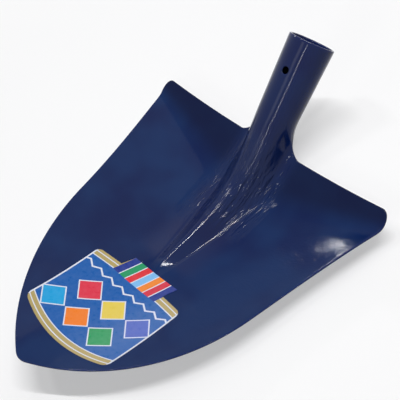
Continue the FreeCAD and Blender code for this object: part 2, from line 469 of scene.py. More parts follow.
def deselect() -> None:
    """Nothing is selected and object mode is on."""
    if bpy.context.object and bpy.context.object.mode != "OBJECT":
        bpy.ops.object.mode_set(mode="OBJECT")
    bpy.ops.object.select_all(action="DESELECT")


def pick(piece: Piece) -> None:
    """Only this piece is selected, and it is the active one."""
    deselect()
    piece.select_set(True)
    bpy.context.view_layer.objects.active = piece


def edit(act: Callable[..., set[str]], piece: Piece, edges: Sequence[int] = (),
         faces: Sequence[int] = (), **settings: str) -> None:
    """Run an operator of edit mode on parts of a mesh.

    Args:
        act: Operator.
        piece: Mesh piece.
        edges: Numbers of the edges that it works on.
        faces: Numbers of the faces that it works on.
        settings: Settings of the operator.
    """
    pick(piece)
    bpy.context.tool_settings.mesh_select_mode = (False, bool(edges), bool(faces))
    bpy.ops.object.mode_set(mode="EDIT")
    bpy.ops.mesh.select_all(action="DESELECT")
    bpy.ops.object.mode_set(mode="OBJECT")
    for numbers, parts in ((edges, piece.data.edges), (faces, piece.data.polygons)):
        for number in numbers:
            parts[number].select = True
    bpy.ops.object.mode_set(mode="EDIT")
    act(**settings)
    bpy.ops.object.mode_set(mode="OBJECT")


def grid(name: str, columns: int, rows: int, place: Callable[[int, int], Vector]) -> Piece:
    """Grid of faces whose crossings are set on a form.

    Args:
        name: Name of the piece.
        columns: Number of crossings across.
        rows: Number of crossings lengthwise.
        place: Gives the place of a crossing from its column and row.

    Returns:
        The piece.
    """
    deselect()
    bpy.ops.mesh.primitive_grid_add(x_subdivisions=columns - 1, y_subdivisions=rows - 1, size=MM)
    piece = bpy.context.object
    piece.name = piece.data.name = name
    for vertex in piece.data.vertices:
        row, column = divmod(vertex.index, columns)
        vertex.co = place(column, row)
    return piece


def edge_numbers(piece: Piece, chain: Sequence[int]) -> list[int]:
    """Numbers of the edges that join the vertices of a chain in turn."""
    wanted = {frozenset(pair) for pair in zip(chain, chain[1:])}
    return [edge.index for edge in piece.data.edges if frozenset(edge.vertices) in wanted]


def extrude_edges(piece: Piece, chain: Sequence[int], closed: bool = False) -> list[int]:
    """Extrude a chain of edges on the spot.

    Args:
        piece: Mesh piece.
        chain: Numbers of the chain's vertices, in turn.
        closed: Whether the chain closes to a ring.

    Returns:
        The numbers of the new vertices, in the same order.
    """
    line = [*chain, chain[0]] if closed else chain
    edit(bpy.ops.mesh.extrude_edges_move, piece, edge_numbers(piece, line))
    verts, made = piece.data.vertices, {}
    for edge in piece.data.edges:
        low, high = sorted(edge.vertices)
        if verts[high].select and not verts[low].select:
            made[low] = high
    return [made[number] for number in chain]


def finish_mesh(piece: Piece, levels: int, hard: float = 0.0) -> None:
    """Subdivide a piece, apply that, and shade it smooth.

    Args:
        piece: Mesh piece.
        levels: Levels of subdivision.
        hard: Angle in degrees over which an edge stays hard, or 0 for none.
    """
    pick(piece)
    if levels:
        modifier = piece.modifiers.new("Smooth", "SUBSURF")
        modifier.levels = modifier.render_levels = levels
        bpy.ops.object.modifier_apply(modifier=modifier.name)
    if hard:
        bpy.ops.object.shade_smooth_by_angle(angle=radians(hard))
    else:
        bpy.ops.object.shade_smooth()
    deselect()


class Value:
    """Socket of a node tree that takes part in Python arithmetic."""

    def __init__(self, tree: "Tree", socket: bpy.types.NodeSocket) -> None:
        """Keep the tree and the socket."""
        self.tree = tree
        self.socket = socket

    def math(self, operation: str, *others: "Value | float") -> "Value":
        """Math node on this value and others."""
        return self.tree.math(operation, self, *others)

    def __add__(self, other: "Value | float") -> "Value":
        """Sum."""
        return self.math("ADD", other)

    __radd__ = __add__

    def __sub__(self, other: "Value | float") -> "Value":
        """Difference."""
        return self.math("SUBTRACT", other)

    def __rsub__(self, other: float) -> "Value":
        """Difference, number first."""
        return self.tree.math("SUBTRACT", other, self)

    def __mul__(self, other: "Value | float") -> "Value":
        """Product."""
        return self.math("MULTIPLY", other)

    __rmul__ = __mul__

    def __gt__(self, other: "Value | float") -> "Value":
        """1 where this is greater."""
        return self.math("GREATER_THAN", other)

    def __lt__(self, other: "Value | float") -> "Value":
        """1 where this is less."""
        return self.math("LESS_THAN", other)

    def size(self) -> "Value":
        """Distance from zero."""
        return self.math("ABSOLUTE")

    def ramp(self, low: float, high: float) -> "Value":
        """Smooth rise from 0 at low to 1 at high."""
        return self.tree.add("ShaderNodeMapRange", {"interpolation_type": "SMOOTHSTEP"},
                             {"Value": self, "From Min": low, "From Max": high})


Input = Value | float | tuple


class Tree:
    """Node tree of a material or of the world, emptied and built anew."""

    def __init__(self, owner: bpy.types.Material | bpy.types.World) -> None:
        """Empty the tree of its owner."""
        owner.use_nodes = True
        self.nodes = owner.node_tree.nodes
        self.links = owner.node_tree.links
        self.nodes.clear()

    def add(self, kind: str, settings: dict | None = None, inputs: dict | None = None,
            output: int | str = 0) -> Value:
        """Add a node.

        Args:
            kind: Type of the node.
            settings: Properties that are set first, such as an operation.
            inputs: Values or links of its sockets, by name or number.
            output: Output that is handed back.

        Returns:
            That output.
        """
        node = self.nodes.new(kind)
        for name, setting in (settings or {}).items():
            setattr(node, name, setting)
        for name, value in (inputs or {}).items():
            if isinstance(value, Value):
                self.links.new(value.socket, node.inputs[name])
            else:
                node.inputs[name].default_value = value
        return Value(self, node.outputs[output] if len(node.outputs) else None)

    def math(self, operation: str, *values: Value | float) -> Value:
        """Math node on values."""
        return self.add("ShaderNodeMath", {"operation": operation}, dict(enumerate(values)))

    def mix(self, factor: Value | float, first: Input, second: Input) -> Value:
        """Mix of two colours, with the factor as the share of the second."""
        return self.add("ShaderNodeMix", {"data_type": "RGBA"}, {0: factor, 6: first, 7: second}, 2)

    def noise(self, place: Value, scale: float, detail: float = 2.0,
              roughness: float = 0.5) -> Value:
        """Noise from about 0 to 1, from its bumps per metre and its finer layers."""
        return self.add("ShaderNodeTexNoise", None, {"Vector": place, "Scale": scale,
                                                     "Detail": detail, "Roughness": roughness})

    def attribute(self, name: str) -> Value:
        """Value that the mesh carries under a name."""
        return self.add("ShaderNodeAttribute", {"attribute_name": name}, None, "Fac")

    def axis(self, place: Value, name: str) -> Value:
        """One coordinate of a place."""
        return self.add("ShaderNodeSeparateXYZ", None, {0: place}, name)

    def bump(self, height: Value, distance: float, strength: float = 1.0,
             under: Value | None = None) -> Value:
        """Bumped normal.

        Args:
            height: Height from 0 to 1.
            distance: Real height of 1, in metres.
            strength: Share of the effect.
            under: Normal that this one is laid over.

        Returns:
            The normal.
        """
        inputs = {"Height": height, "Distance": distance, "Strength": strength}
        if under:
            inputs["Normal"] = under
        return self.add("ShaderNodeBump", None, inputs)

    def surface(self, **sockets: Input) -> None:
        """Principled surface with these sockets, as the material's output."""
        named = {name.replace("_", " "): value for name, value in sockets.items()}
        shader = self.add("ShaderNodeBsdfPrincipled", None, named, "BSDF")
        self.add("ShaderNodeOutputMaterial", None, {"Surface": shader})


def shade(red: float, green: float, blue: float) -> tuple[float, float, float, float]:
    """Colour for a node from the eight-bit values that a paint chart gives."""
    def straight(level: float) -> float:
        """Linear level of an eight-bit one."""
        level /= 255
        return level / 12.92 if level <= 0.04045 else ((level + 0.055) / 1.055) ** 2.4
    return straight(red), straight(green), straight(blue), 1.0


@dataclass(frozen=True)
class Relief:
    """Layer of fine unevenness: bumps per metre, finer layers, height in metres and strength."""

    scale: float
    detail: float
    roughness: float
    height: float
    strength: float

    def noise(self, tree: Tree, place: Value) -> Value:
        """Its noise, from about 0 to 1."""
        return tree.noise(place, self.scale, self.detail, self.roughness)

    def lay(self, tree: Tree, noise: Value, under: Value | None = None) -> Value:
        """Normal of the layer, laid over the normal of another."""
        return tree.bump(noise, self.height, self.strength, under)


@dataclass(frozen=True)
class NavyEnamel:
    """Glossy dipped enamel over forged steel.

    It is paler on the rim, partly as thin paint and partly as a painted edge highlight.  It is
    darker on the turned-up shoulders as painted shade, clear-coated along the rib and the socket,
    and dull down the bore, where it also darkens with depth as painted shade.  Its places are
    metres in the model's frame.
    """

    deep: tuple = shade(5, 25, 72)
    pale: tuple = shade(13, 40, 85)
    # Paler rim: partly thin paint on the edge, partly a painted edge highlight.
    rim: tuple = shade(22, 36, 96)
    # Painted shade: near-black for deep down the bore.
    bore: tuple = shade(3, 4, 12)
    # Painted shade: deeper navy for the turned-up shoulders, which face away from the light.
    shoulder: tuple = shade(3, 11, 46)
    rib: tuple = shade(2, 14, 68)
    # Share of the paler rim, part thin paint and part painted edge highlight.
    rim_share: float = 0.5
    speck_share: float = 0.25
    # Share of the painted shade on the shoulders.
    shoulder_shade_share: float = 0.6
    rib_share: float = 0.5
    wave: Relief = Relief(38.0, 1.0, 0.5, 0.0012, 0.5)
    dent: Relief = Relief(140.0, 4.0, 0.6, 0.00025, 0.35)
    peel: Relief = Relief(550.0, 2.0, 0.5, 0.00011, 0.8)
    drawn: Relief = Relief(300.0, 2.0, 0.6, 0.0025, 1.0)
    drawn_stretch: float = 0.14
    cloud_range: tuple[float, float] = (0.3, 0.7)
    speck_fineness: float = 1.7
    speck_range: tuple[float, float] = (0.70, 0.78)
    grain_from: tuple[float, float] = (0.05, 0.08)
    grain_least: float = 0.25
    marks_width: tuple[float, float] = (0.028, 0.042)
    marks_start: tuple[float, float] = (0.0, 0.03)
    marks_end: tuple[float, float] = (0.07, 0.11)
    polish_width: tuple[float, float] = (0.014, 0.04)
    polish_start: tuple[float, float] = (-0.044, -0.032)
    polish: float = 0.2
    polish_roughness: float = 0.03
    gloss: float = 0.11
    roughness: float = 0.05
    uneven_roughness: float = 0.03
    bore_roughness: float = 0.5

    def make(self) -> bpy.types.Material:
        """Build the material."""
        material = bpy.data.materials.new("navy_enamel")
        tree = Tree(material)
        place = tree.add("ShaderNodeTexCoord", None, None, "Object")
        out, back = tree.axis(place, "X").size(), tree.axis(place, "Y")
        depth, dents = tree.attribute("depth"), self.dent.noise(tree, place)
        cloud = tree.noise(place, self.wave.scale / 2).ramp(*self.cloud_range)
        specks = tree.noise(place, self.peel.scale * self.speck_fineness, 1.0)
        polished = (1 - out.ramp(*self.polish_width)) * back.ramp(*self.polish_start)
        colour = tree.mix(cloud, self.deep, self.pale)
        # Paler rim: partly thin paint, partly a painted edge highlight.
        for share, paint in ((tree.attribute("rim") * self.rim_share, self.rim),
                             (specks.ramp(*self.speck_range) * self.speck_share, self.rim),
                             # Painted shade on the turned-up shoulders, by the 'turned' mask.
                             (tree.attribute("turned") * self.shoulder_shade_share, self.shoulder),
                             (polished * self.rib_share, self.rib),
                             # Painted shade: the bore darkens to near-black with depth. The
                             # roughness that the same mask raises is real.
                             (depth, self.bore)):
            colour = tree.mix(share, colour, paint)
        rough = self.roughness + (dents + cloud) * self.uneven_roughness
        rough = rough + depth * self.bore_roughness
        grain = out.ramp(*self.grain_from) * (1 - self.grain_least) + self.grain_least
        normal = self.wave.lay(tree, self.wave.noise(tree, place))
        normal = self.dent.lay(tree, dents, normal)
        normal = self.peel.lay(tree, self.peel.noise(tree, place) * grain, normal)
        normal = self.drawn.lay(tree, self.draw_marks(tree, place, out, back), normal)
        tree.surface(Base_Color=colour, Roughness=rough, Normal=normal,
                     Specular_IOR_Level=self.gloss, Coat_Weight=polished * self.polish,
                     Coat_Roughness=self.polish_roughness)
        return material

    def draw_marks(self, tree: Tree, place: Value, out: Value, back: Value) -> Value:
        """Height of the long marks that the press drew along the rib.

        Args:
            tree: Tree of the material.
            place: Object coordinates.
            out: Distance from the middle line.
            back: Place lengthwise.

        Returns:
            The height.
        """
        stretch = (1.0, self.drawn_stretch, self.drawn_stretch)
        drawn = tree.add("ShaderNodeMapping", {"vector_type": "POINT"}, {0: place, 3: stretch})
        beside = 1 - out.ramp(*self.marks_width)
        along = back.ramp(*self.marks_start) * (1 - back.ramp(*self.marks_end))
        return self.drawn.noise(tree, drawn) * beside * along


@dataclass(frozen=True)
class LabelPrint:
    """Glossy film with a plain pattern of bands and lozenges, with its lengths in millimetres."""

    field_colour: tuple = shade(24, 86, 158)
    gold: tuple = shade(168, 150, 96)
    silver: tuple = shade(206, 210, 222)
    lozenges: tuple = (shade(30, 150, 205), shade(226, 120, 40), shade(30, 140, 84),
                       shade(206, 52, 72), shade(214, 190, 80), shade(70, 92, 178))
    tab: tuple = (shade(34, 52, 130), shade(34, 140, 92), shade(206, 52, 60), shade(120, 176, 222),
                  shade(224, 128, 50), shade(198, 52, 70), shade(34, 52, 130))
    tab_from: float = 121.0
    lozenge_row: int = 3
    lozenge_pitch: tuple[float, float] = (31.0, 27.0)
    lozenge_from: float = 64.0
    lozenge_reach: float = 13.5
    lozenge_squash: float = 1.05
    lozenge_line: float = 1.6
    end_band: float = 7.5
    end_line: float = 1.0
    fine_line: float = 3.2
    fine_half: float = 0.5
    side_line: float = 1.4
    zigzag_from: float = 109.0
    zigzag_half: float = 7.0
    zigzag_slope: float = 0.6
    zigzag_line: float = 0.9
    grain: Relief = Relief(260.0, 3.0, 0.5, 0.00006, 0.3)
    grain_range: tuple[float, float] = (0.3, 0.8)
    grain_shade: float = 0.03
    grain_roughness: float = 0.15
    roughness: float = 0.22
    gloss: float = 0.12

    def make(self, sizes: "Label") -> bpy.types.Material:
        """Build the material.

        Args:
            sizes: The label, for the places of its bands.

        Returns:
            The material.
        """
        material = bpy.data.materials.new("label_print")
        tree = Tree(material)
        uv = tree.add("ShaderNodeUVMap", {"uv_map": "print"})
        x, y = (tree.axis(uv, name) * sizes.map_unit + start
                for name, start in zip("XY", sizes.map_start))
        way = x - (y - sizes.back) * (sizes.tab_lean / (sizes.tab_end - sizes.back))
        on_tab = (y > self.tab_from) * (way.size() < sizes.tab_width / 2)
        colour = tree.mix(on_tab, self.body(tree, x, y, sizes), self.bands(tree, way, sizes))
        place = tree.add("ShaderNodeTexCoord", None, None, "Object")
        grain = self.grain.noise(tree, place)
        colour = tree.mix(grain.ramp(*self.grain_range) * self.grain_shade, colour, self.silver)
        tree.surface(Base_Color=colour, Roughness=self.roughness + grain * self.grain_roughness,
                     Normal=self.grain.lay(tree, grain), Specular_IOR_Level=self.gloss)
        return material

    def body(self, tree: Tree, x: Value, y: Value, sizes: "Label") -> Value:
        """Colour of the label's body.

        Args:
            tree: Tree of the material.
            x: Place across.
            y: Place behind the point.
            sizes: The label.

        Returns:
            The colour.
        """
        share = x * x * (1 / (sizes.width / 2) ** 2)
        from_front = y - (sizes.front - sizes.front_bow * (1 - share))
        from_back = (sizes.back + sizes.back_bow * (1 - share)) - y
        colour: Input = self.field_colour
        pitch, row_pitch = self.lozenge_pitch
        for number, paint in enumerate(self.lozenges):
            row, column = divmod(number, self.lozenge_row)
            centre_x = (column - 1) * pitch + (pitch / 4 if row else -pitch / 4)
            centre_y = self.lozenge_from + row * row_pitch
            off = (x - centre_x).size() + (y - centre_y).size() * self.lozenge_squash
            colour = tree.mix(off < self.lozenge_reach + self.lozenge_line, colour, self.silver)
            colour = tree.mix(off < self.lozenge_reach, colour, paint)
        for distance in (from_front, from_back):
            colour = tree.mix(distance < self.end_band + self.end_line, colour, self.silver)
            colour = tree.mix(distance < self.end_band, colour, self.gold)
            on_line = (distance - self.fine_line).size() < self.fine_half
            colour = tree.mix(on_line, colour, self.silver)
        rise = tree.math("PINGPONG", x, self.zigzag_half) * self.zigzag_slope
        zigzag = (y - rise - self.zigzag_from).size() < self.zigzag_line
        colour = tree.mix(zigzag, colour, self.silver)
        return tree.mix(x.size() > sizes.width / 2 - self.side_line, colour, self.silver)

    def bands(self, tree: Tree, way: Value, sizes: "Label") -> Value:
        """Colour of the leaning bands on the tab.

        Args:
            tree: Tree of the material.
            way: Place across the tab, from its middle.
            sizes: The label.

        Returns:
            The colour.
        """
        width = sizes.tab_width / len(self.tab)
        colour: Input = self.tab[0]
        for number, paint in enumerate(self.tab[1:], 1):
            edge = number * width - sizes.tab_width / 2
            colour = tree.mix(way > edge - self.fine_half, colour, self.silver)
            colour = tree.mix(way > edge + self.fine_half, colour, paint)
        return colour


@dataclass
class SteelHead:
    """Blade, rib, neck and socket as one skin of steel."""

    form: HeadForm = field(default_factory=HeadForm)
    rib_columns: int = 15
    web_columns: int = 3
    wing_columns: int = 24
    wing_even: float = 0.28
    rim_inset: float = 1.1
    row_step: float = 4.6
    bend_step: float = 3.4
    bend_rows_from: float = 232.0
    corner_turns: tuple[int, ...] = (21, 42, 62, 90)
    rim_share: float = 0.1
    fine_steps: int = 8
    point_gap: float = 0.04
    first_step: float = 0.64
    step_growth: float = 0.32
    crest_lead: float = 13.0
    lead_from: float = 205.0
    crease: float = 3.0
    fin_angle: float = 104.0
    fin_gap: float = 2.5
    fin_lead: float = 0.66
    fin_from: float = 0.6
    throat_slack: float = 0.25
    throat_shares: tuple[float, ...] = (0.1, 0.22, 0.34, 0.46, 0.58, 0.7)
    neck_rings: int = 7
    neck_run: float = 9.0
    hole_from_mouth: float = 30.5
    hole_radius: float = 3.0
    hole_growth: float = 1.22
    hole_pitch: float = 0.7
    low_ways: tuple[float, ...] = (13.5, 18, 22.5, 27, 31.5, 36, 40)
    high_ways: tuple[float, ...] = (57, 61.5, 66, 70.5, 74.5)
    mouth_ways: tuple[float, ...] = (71, 64)
    bore_ways: tuple[float, ...] = (39, 33, 27, 21, 15, 9, 4, 0)
    lip_step: float = 2.0
    lip_round: float = 0.5
    nose_share: float = 0.3
    nose_width: float = 9.0
    shade_lift: float = 8.0
    shade_run: float = 16.0

    def __post_init__(self) -> None:
        """Work out the outline, the columns and the rows."""
        self.outline = Outline(self.form)
        self.side_columns = self.rib_columns + self.wing_columns
        self.columns = 2 * self.side_columns + 1
        self.neck_columns = self.rib_columns + self.web_columns
        self.row_places = self.rows()
        self.sections: dict[int, list[Vector]] = {}
        self.bore_from = 0

    @property
    def hole(self) -> float:
        """Way from the neck to the middle of the nail hole."""
        return self.form.socket_length - self.hole_from_mouth

    def rows(self) -> list[float]:
        """Distances behind the point of the rows, close at the point and round the corners."""
        form = self.form
        places, step = [self.outline.point() + self.point_gap], self.first_step
        turn_start = form.blade_length - form.corner_radius
        while places[-1] < turn_start - self.bend_step:
            places.append(places[-1] + step)
            widest = self.bend_step if places[-1] > self.bend_rows_from else self.row_step
            step = min(step + self.step_growth, widest)
        scale = (turn_start - places[0]) / (places[-1] - places[0])
        places = [places[0] + (place - places[0]) * scale for place in places]
        return places + [turn_start + form.corner_radius * sin(radians(turn))
                         for turn in self.corner_turns]

    def wing_share(self, number: int) -> float:
        """Share of the way from the foot of the rib to the last column but one."""
        share = number / (self.wing_columns - 1)
        return self.wing_even * share + (1 - self.wing_even) * share * share

    def wing_x(self, number: int, foot: float, y: float) -> float:
        """Place across of a column beside the rib.

        Args:
            number: Number of the column, from 1 beside the foot.
            foot: Place across of the foot.
            y: Place behind the point.

        Returns:
            The place across.
        """
        reach = self.outline.reach(y)
        if number == self.wing_columns:
            return reach
        inner = reach - min(self.rim_inset, reach * self.rim_share)
        return foot + (inner - foot) * self.wing_share(number)

    def foot(self, y: float) -> float:
        """Half width of the strip that the rib's columns take."""
        if y > self.form.rib_start:
            return self.form.rib_section(y)[0]
        return min(self.nose_width, self.outline.reach(y) * self.nose_share)

    def upper(self, y: float, column: int) -> Vector:
        """Place on the upper face.

        Args:
            y: Place behind the point, on the wings.
            column: Column, 0 on the crest and negative on the left.

        Returns:
            The place.
        """
        number, form = abs(column), self.form
        if number > self.rib_columns:
            x = self.wing_x(number - self.rib_columns, self.foot(y), y)
        elif y > form.rib_start:
            share = number / self.rib_columns
            end = (y - self.lead_from) / (form.blade_length - self.lead_from)
            lead = self.crest_lead * max(end, 0.0) ** 2
            return sided(form.rib(y - lead * (1 - smooth_step(share)), share), column)
        else:
            x = number / self.rib_columns * self.foot(y)
        return sided(Vector((x, y, form.dish(x, y))), column)

    def under_section(self, y: float) -> list[Vector]:
        """Right half of the rib's under face at a distance, from the middle out to its foot."""
        form = self.form
        if y <= form.rib_start:
            reach = self.foot(y)
            steps = [reach * number / self.rib_columns for number in range(self.rib_columns + 1)]
            return [Vector((x, y, form.dish_under(x, y))) for x in steps]
        fine = self.fine_steps * self.rib_columns
        line = [form.rib_under(y, number / fine) for number in range(fine + 1)]
        line[0].x = 0.0
        for place in line:
            place.x = max(place.x, 0.0)
            place.z = soft_min(place.z, form.throat_floor(place.x, y), self.crease)
        return spread(line, self.rib_columns)

    def under(self, y: float, column: int) -> Vector:
        """Place on the under face.

        Args:
            y: Place behind the point.
            column: Column, 0 in the middle and negative on the left.

        Returns:
            The place.
        """
        key = round(y / self.form.step * 1000)
        if key not in self.sections:
            self.sections[key] = self.under_section(y)
        section, number = self.sections[key], abs(column)
        if number <= self.rib_columns:
            place = section[number]
        else:
            x = self.wing_x(number - self.rib_columns, section[-1].x, y)
            place = Vector((x, y, self.form.dish_under(x, y)))
        return sided(place, column)

    def sheet(self, name: str, place: Callable[[float, int], Vector]) -> Piece:
        """One face of the blade, with each place found from its distance and its column."""
        def crossing(column: int, row: int) -> Vector:
            """Place of a crossing of the grid."""
            return self.form.model(place(self.row_places[row], column - self.side_columns))
        return grid(name, self.columns, len(self.row_places), crossing)

    def rim_chain(self, first: int) -> list[int]:
        """Vertices along the rim of one face, from one side of the neck round to the other.

        Args:
            first: Number of the face's first vertex.

        Returns:
            The numbers of the vertices, in turn.
        """
        rows, last = len(self.row_places), self.columns - 1
        top = (rows - 1) * self.columns
        left, right = self.side_columns - self.neck_columns, self.side_columns + self.neck_columns
        chain = [top + column for column in range(right, last + 1)]
        chain += [row * self.columns + last for row in range(rows - 2, -1, -1)]
        chain += [column for column in range(last - 1, -1, -1)]
        chain += [row * self.columns for row in range(1, rows)]
        chain += [top + column for column in range(1, left + 1)]
        return [first + number for number in chain]

    def bridge(self, piece: Piece, chains: Sequence[Sequence[int]]) -> None:
        """Bridge two chains of vertices with a strip of faces."""
        edges = [number for chain in chains for number in edge_numbers(piece, chain)]
        edit(bpy.ops.mesh.bridge_edge_loops, piece, edges)

    def neck_ring(self, count: int) -> list[tuple[int, Callable[[float, int], Vector], int]]:
        """The ring round the neck: for each vertex its number, its face and its column.

        Args:
            count: Number of vertices of one face.

        Returns:
            The ring, from the crest round the right side, the back and the left side.
        """
        top = (len(self.row_places) - 1) * self.columns + self.side_columns
        reach = self.neck_columns
        ring = [(top + column, self.upper, column) for column in range(0, reach + 1)]
        ring += [(count + top + column, self.under, column)
                 for column in range(reach, -reach - 1, -1)]
        return ring + [(top + column, self.upper, column) for column in range(-reach, 0)]

    def ring_angles(self) -> list[float]:
        """Turn of each vertex of the ring round the socket, from the front line."""
        reach = self.neck_columns
        half = [self.fin_angle * number / reach for number in range(reach + 1)]
        back_start = self.fin_angle + self.fin_gap
        half += [back_start + (180 - back_start) * number / reach for number in range(reach + 1)]
        turned = half + [-angle for angle in reversed(half[1:-1])]
        return [radians(angle) for angle in turned]

    def neck_course(self, place: Callable[[float, int], Vector], column: int,
                    angle: float) -> list[Vector]:
        """Course of one vertex of the ring from the blade up onto the socket.

        Args:
            place: Face that the vertex starts on.
            column: Its column.
            angle: Its turn on the socket.

        Returns:
            Its places, ring by ring.
        """
        form, end = self.form, self.form.blade_length
        start = place(end, column)
        back = (start - place(end - form.step, column)).normalized()
        number, fin = abs(column), self.rib_columns * self.fin_from
        lead = back
        if number > fin:
            inward = (place(end, (number - 1) * (1 if column > 0 else -1)) - start).normalized()
            outer = (number - fin) / (self.neck_columns - fin)
            lead = back.lerp(inward, self.fin_lead * smooth_step(outer)).normalized()
        begin = form.from_socket(start)
        ahead = form.from_socket(start + lead * form.step)
        turn = angle
        if column and abs(abs(begin[1]) - pi) < ON_SPOT:
            begin = (begin[0], pi if turn > 0 else -pi, begin[2])
        length = hypot(self.neck_run - begin[2], begin[0] - form.neck_radius)
        slopes = [(after - before) / form.step * length for before, after in zip(begin, ahead)]
        if not column and place == self.under:
            begin, slopes[1], turn = (begin[0], pi, begin[2]), 0.0, pi
        finish = (form.wall_at(self.neck_run), turn, self.neck_run)
        ends = (form.taper * length, 0.0, length)
        course = []
        for ring in range(1, self.neck_rings + 1):
            share = ring / self.neck_rings
            lines = zip(begin, finish, slopes, ends)
            course.append(form.on_socket(*(hermite(*line, share) for line in lines)))
        return course

    def tube_rings(self) -> list[tuple[float, float]]:
        """Radius and way of the rings of the socket: up outside, over the lip and down the bore."""
        form, top, soft = self.form, self.form.socket_length, self.lip_round
        pitch = self.hole_radius * self.hole_pitch
        near = [self.hole + pitch * number for number in (-2, -1, 0, 1, 2)]
        outer = [*self.low_ways, *near, *self.high_ways, top - self.lip_step, top - soft]
        inner = [top - soft, top - self.lip_step, *self.mouth_ways, top - form.bore_straight,
                 *near[::-1], *self.bore_ways]
        lip = [(form.mouth_radius - soft, top), (form.bore_radius + soft, top)]
        return ([(form.wall_at(way), way) for way in outer] + lip
                + [(form.bore_at(way), way) for way in inner])

    def throat_rings(self) -> list[list[Vector]]:
        """Rings of the hollow throat, from the neck to its narrow end in the rib."""
        form, wall = self.form, self.form.neck_radius - self.form.neck_wall
        back = form.neck_centre - form.front * wall
        rings = []
        for share in self.throat_shares:
            floor = back.lerp(form.throat_end, share)
            size = min(form.headroom(floor) / 2 * (1 - self.throat_slack * share), wall)
            centre = floor + form.front * size
            rings.append([centre + (Vector((sin(turn), 0, 0)) + form.front * cos(turn)) * size
                          for turn in self.ring_angles()])
        return rings

    def extrude_ring(self, piece: Piece, ring: list[int],
                     places: Sequence[Vector]) -> list[int]:
        """Extrude a closed ring of edges and set the new one on its places.

        Args:
            piece: Mesh piece.
            ring: Numbers of the ring's vertices, in turn.
            places: Places of the new vertices in the blade frame, in the same order.

        Returns:
            The numbers of the new vertices.
        """
        fresh = extrude_edges(piece, ring, closed=True)
        for number, place in zip(fresh, places):
            piece.data.vertices[number].co = self.form.model(place)
        return fresh

    def open_hole(self, piece: Piece, outer: list[list[int]],
                  inner: list[list[int]]) -> None:
        """Open the nail hole through the front of the socket.

        Args:
            piece: Mesh piece.
            outer: The three rings round the hole on the outer face, from below.
            inner: The same on the bore.
        """
        form, reach = self.form, self.hole_radius * self.hole_growth
        rims, doomed = [], []
        order = ((-1, 0), (-1, 1), (0, 1), (1, 1), (1, 0), (1, -1), (0, -1), (-1, -1))
        walls = (form.wall_at(self.hole), form.bore_at(self.hole))
        for rings, wall in zip((outer, inner), walls):
            rim = [rings[1 + way][turn] for way, turn in order]
            for number, (way, turn) in zip(rim, order):
                angle = atan2(turn, way)
                across = asin(reach * sin(angle) / wall)
                place = form.on_socket(wall, across, self.hole + reach * cos(angle))
                piece.data.vertices[number].co = form.model(place)
            doomed.append(rings[1][0])
            rims.append(rim)
        lost = [face.index for face in piece.data.polygons if set(doomed) & set(face.vertices)]
        count = len(piece.data.vertices)
        edit(bpy.ops.mesh.delete, piece, faces=lost, type="FACE")
        if len(piece.data.vertices) != count:
            rims = [[number - sum(low < number for low in doomed) for number in rim]
                    for rim in rims]
        self.bridge(piece, [rim + rim[:1] for rim in rims])

    def mark(self, piece: Piece) -> None:
        """Write how near the rim, how deep in the bore and how far turned up each vertex is."""
        form, mesh = self.form, piece.data
        rim, depth, turned = (mesh.attributes.new(name, "FLOAT", "POINT")
                              for name in ("rim", "depth", "turned"))
        count = len(self.row_places) * self.columns
        edge = set(self.rim_chain(0)) | set(self.rim_chain(count))
        lip, wall = 2 * self.lip_round, form.bore_radius + self.lip_round / 2
        for vertex in mesh.vertices:
            number, place = vertex.index, form.from_model(vertex.co)
            radius, _, way = form.from_socket(place)
            below, on_blade = form.socket_length - way, number < 2 * count
            near_lip = not on_blade and abs(below) < lip
            # Rim mask: the paler rim, part thin paint and part painted edge highlight.
            rim.data[number].value = 1.0 if number in edge or near_lip else 0.0
            if on_blade:
                # The 'turned' mask carries the painted shade of the shoulders.
                beside = smooth_step((abs(place.x) - form.mouth_radius) / form.neck_radius)
                risen = smooth_step(form.lift(place.x, place.y) / self.shade_lift)
                turned.data[number].value = beside * risen
            elif radius < wall and below > lip and number >= self.bore_from:
                # Depth mask of the painted shade down the bore, and of its rougher paint.
                depth.data[number].value = smooth_step(below / self.shade_run)

    def build(self) -> Piece:
        """Build the whole skin."""
        piece = self.sheet("head_skin", self.upper)
        count = len(piece.data.vertices)
        lower = self.sheet("under_face", self.under)
        edit(bpy.ops.mesh.flip_normals, lower, faces=range(len(lower.data.polygons)))
        pick(piece)
        lower.select_set(True)
        bpy.ops.object.join()
        self.bridge(piece, [self.rim_chain(0), self.rim_chain(count)])
        members = self.neck_ring(count)
        angles = self.ring_angles()
        courses = [self.neck_course(place, column, angle)
                   for (_, place, column), angle in zip(members, angles)]
        ring = [number for number, _, _ in members]
        for number in range(self.neck_rings):
            ring = self.extrude_ring(piece, ring, [course[number] for course in courses])
        rings = []
        for radius, way in self.tube_rings():
            places = [self.form.on_socket(radius, angle, way) for angle in angles]
            ring = self.extrude_ring(piece, ring, places)
            rings.append((way, ring))
            if radius < self.form.bore_radius + self.lip_round and not self.bore_from:
                self.bore_from = min(ring)
        for places in self.throat_rings():
            ring = self.extrude_ring(piece, ring, places)
        edit(bpy.ops.mesh.edge_face_add, piece, edge_numbers(piece, ring + ring[:1]))
        self.mark(piece)
        near = [held for way, held in rings if abs(way - self.hole) < self.hole_radius]
        self.open_hole(piece, near[:3], near[:2:-1])
        finish_mesh(piece, levels=1)
        return piece

    def dress(self, piece: Piece) -> None:
        """Give the skin its finish and its place in the model."""
        piece.data.materials.append(NavyEnamel().make())
        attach(piece, "root")
        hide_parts("blade", "socket")
        LOG.info("%s: %d faces", piece.name, len(piece.data.polygons))


